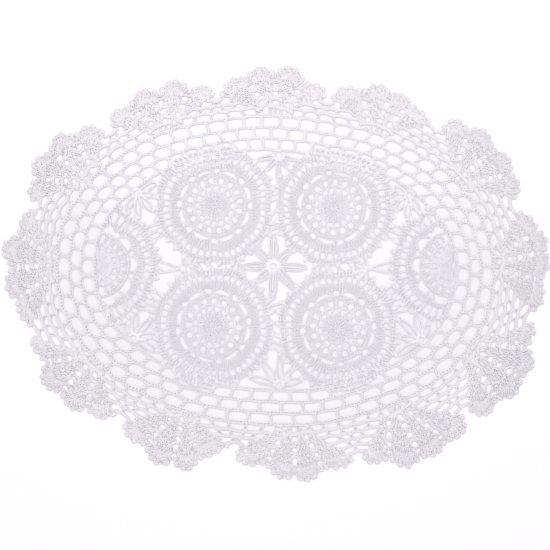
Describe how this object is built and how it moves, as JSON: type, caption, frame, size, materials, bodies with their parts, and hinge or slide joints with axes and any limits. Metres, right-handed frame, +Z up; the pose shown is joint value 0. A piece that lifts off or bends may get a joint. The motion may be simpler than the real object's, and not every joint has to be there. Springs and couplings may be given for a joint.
{
  "type": "lace doily",
  "caption": "Oval crochet lace doily lying flat: round medallions joined by star fillings, an open net ground and an edging of scalloped fans.",
  "frame": {"origin": "middle of the outline's bounding box, on the surface that the doily lies on", "axes": "+X along the long side of the oval, to the right as seen from above; +Y along the short side, away from the viewer; +Z up, out of the cloth's upper face"},
  "size_m": [0.4016, 0.3058, 0.0016],
  "materials": {
    "cotton_motif": "matt mercerised crochet cotton, off-white",
    "cotton_filling": "matt mercerised crochet cotton, off-white",
    "cotton_net": "matt mercerised crochet cotton, off-white",
    "cotton_edging": "matt mercerised crochet cotton, off-white"
  },
  "bodies": {
    "root": {"medallion_top_left": "cotton_motif", "medallion_top_right": "cotton_motif", "medallion_bottom_left": "cotton_motif", "medallion_bottom_right": "cotton_motif", "half_medallion_left": "cotton_motif", "half_medallion_right": "cotton_motif", "centre_star": "cotton_filling", "filling_top": "cotton_filling", "filling_bottom": "cotton_filling", "filling_corner_top_left": "cotton_filling", "filling_corner_top_right": "cotton_filling", "filling_corner_bottom_left": "cotton_filling", "filling_corner_bottom_right": "cotton_filling", "net_ground": "cotton_net", "fan_edging": "cotton_edging"}
  },
  "joints": []
}
